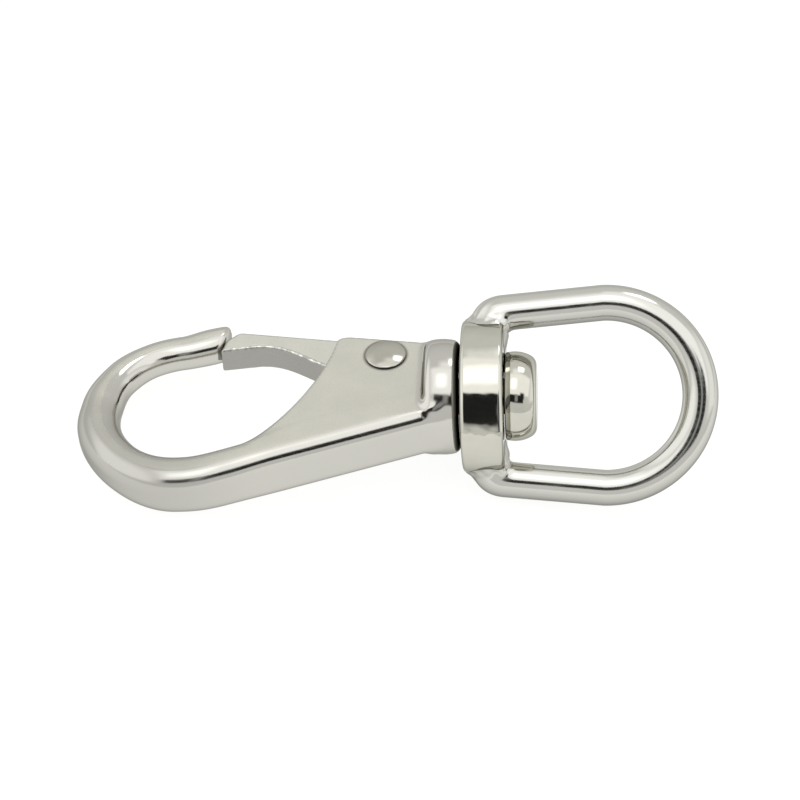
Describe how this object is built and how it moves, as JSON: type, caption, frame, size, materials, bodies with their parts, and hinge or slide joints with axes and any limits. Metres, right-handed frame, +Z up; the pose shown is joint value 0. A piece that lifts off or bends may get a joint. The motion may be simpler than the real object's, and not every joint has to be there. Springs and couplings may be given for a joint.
{
  "type": "swivel snap hook",
  "caption": "Polished stainless snap hook with a spring gate in a flat cast body, and a bent-rod eye welded to a ring that swivels on a headed pin.",
  "frame": {"origin": "middle of the footprint, on the surface that the hook lies on", "axes": "+X along the hook towards the swivel eye, +Y towards the gate side, +Z up; the swivel axis lies in the XZ plane and rises 7.15 degrees towards the eye, because the hook rests on its loop and on the swivel ring's rim"},
  "size_m": [0.0882, 0.0336, 0.0253],
  "materials": {
    "satin_stainless": "satin, bead-blasted and tumbled, with buffed edges",
    "polished_stainless": "mirror polished",
    "polished_rod": "polished drawn rod",
    "spring_wire": "drawn spring wire",
    "weld_metal": "polished weld bead, slightly uneven"
  },
  "bodies": {
    "hook": {"hook_body": "satin_stainless", "gate_rivet": "polished_stainless", "gate_spring": "spring_wire", "swivel_pin": "polished_stainless"},
    "gate": {"gate": "satin_stainless"},
    "eye": {"swivel_ring": "polished_stainless", "bail": "polished_rod", "bail_weld_far": "weld_metal", "bail_weld_near": "weld_metal"}
  },
  "joints": [
    {"name": "gate_hinge", "type": "hinge", "parent": "hook", "child": "gate", "pos_m": [-0.00174, 0.00735, 0.00887], "axis": [-0.1419, 0, 0.9899], "range_deg": [0, 28], "stiffness_Nm_per_rad": 0.12, "springref_deg": -34.38, "deforming": ["gate_spring"]},
    {"name": "eye_swivel", "type": "hinge", "parent": "hook", "child": "eye", "pos_m": [0.009, 0.0031, 0.01042], "axis": [0.9899, 0, 0.1419], "continuous": true}
  ]
}
